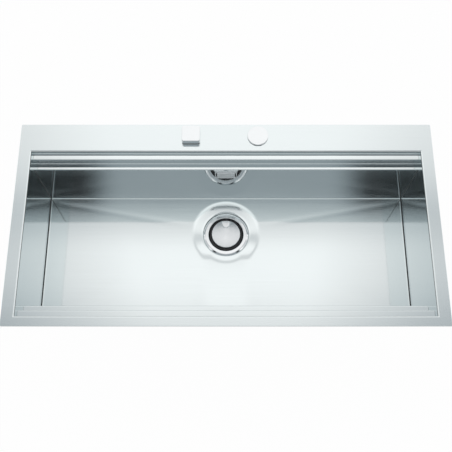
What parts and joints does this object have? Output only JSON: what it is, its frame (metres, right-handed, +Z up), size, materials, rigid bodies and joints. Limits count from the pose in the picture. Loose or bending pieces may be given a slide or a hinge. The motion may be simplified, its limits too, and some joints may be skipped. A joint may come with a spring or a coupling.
{
  "type": "kitchen sink",
  "caption": "Inset rectangular steel sink with stepped ledges front and back, a creased floor, a basket strainer waste, an overflow and a turn knob that lifts the strainer.",
  "frame": {"origin": "centre of the rim's outline, at the level of the worktop that the rim rests on", "axes": "+X along the sink to the right, +Y from front to back, +Z up"},
  "size_m": [1, 0.5, 0.379],
  "materials": {
    "satin_steel": "fine satin grain along the length",
    "polished_steel": "bright polished",
    "brushed_cap": "brushed",
    "inner_steel": "turned",
    "zinc_steel": "zinc plated",
    "brass": "machined",
    "black_plastic": "moulded",
    "grey_plastic": "moulded",
    "black_rubber": "moulded",
    "foam_seal": "closed cell foam",
    "damping_pad": "matt pad"
  },
  "bodies": {
    "sink": {"deck_frame": "satin_steel", "back_wall": "satin_steel", "front_wall": "satin_steel", "left_end_wall": "satin_steel", "right_end_wall": "satin_steel", "floor_pan": "satin_steel", "waste_flange": "polished_steel", "tap_hole_cap": "polished_steel", "overflow_plate": "polished_steel", "lever_axle": "inner_steel", "cap_stud": "inner_steel", "cap_bridge": "inner_steel", "clip_rails": "zinc_steel", "worktop_clips": "zinc_steel", "clip_screws": "zinc_steel", "lever_cover_screws": "zinc_steel", "cap_wing_nut": "zinc_steel", "overflow_nut": "zinc_steel", "control_bush": "brass", "control_backnut": "brass", "lever_cover": "black_plastic", "control_housing": "black_plastic", "control_cover": "black_plastic", "lever_cable_gland": "black_plastic", "control_cable_gland": "black_plastic", "waste_body": "grey_plastic", "overflow_body": "grey_plastic", "overflow_pipe": "grey_plastic", "overflow_pipe_nuts": "grey_plastic", "flange_gasket": "black_rubber", "body_gasket": "black_rubber", "lever_cover_gasket": "black_rubber", "overflow_gasket": "black_rubber", "control_washer": "black_rubber", "cap_gasket": "black_rubber", "rim_seal": "foam_seal", "sound_pads": "damping_pad"},
    "knob": {"control_knob": "polished_steel", "control_spindle": "inner_steel", "cable_drum": "black_plastic"},
    "lever": {"lift_lever": "black_plastic"},
    "lift_pin": {"lift_pin": "inner_steel"},
    "strainer": {"strainer_cap": "brushed_cap", "strainer_basket": "black_plastic", "strainer_stem": "inner_steel", "plug_seal": "black_rubber"}
  },
  "joints": [
    {"name": "knob_turn", "type": "hinge", "parent": "sink", "child": "knob", "pos_m": [-0.085, 0.218, 0.018], "axis": [0, 0, 1], "range_deg": [0, 90]},
    {"name": "lever_rock", "type": "hinge", "parent": "sink", "child": "lever", "pos_m": [-0.054, 0.044, -0.2851], "axis": [0, -1, 0], "range_deg": [0, 9.57]},
    {"name": "pin_lift", "type": "slide", "parent": "sink", "child": "lift_pin", "axis": [0, 0, 1], "range_m": [0, 0.00901]},
    {"name": "strainer_lift_out", "type": "slide", "parent": "lift_pin", "child": "strainer", "axis": [0, 0, 1], "range_m": [0, 0.15]}
  ],
  "couplings": [
    {"joint": "lever_rock", "follows": "knob_turn", "ratio": 0.10623},
    {"joint": "pin_lift", "follows": "knob_turn", "m_per_rad": 0.0057296}
  ]
}
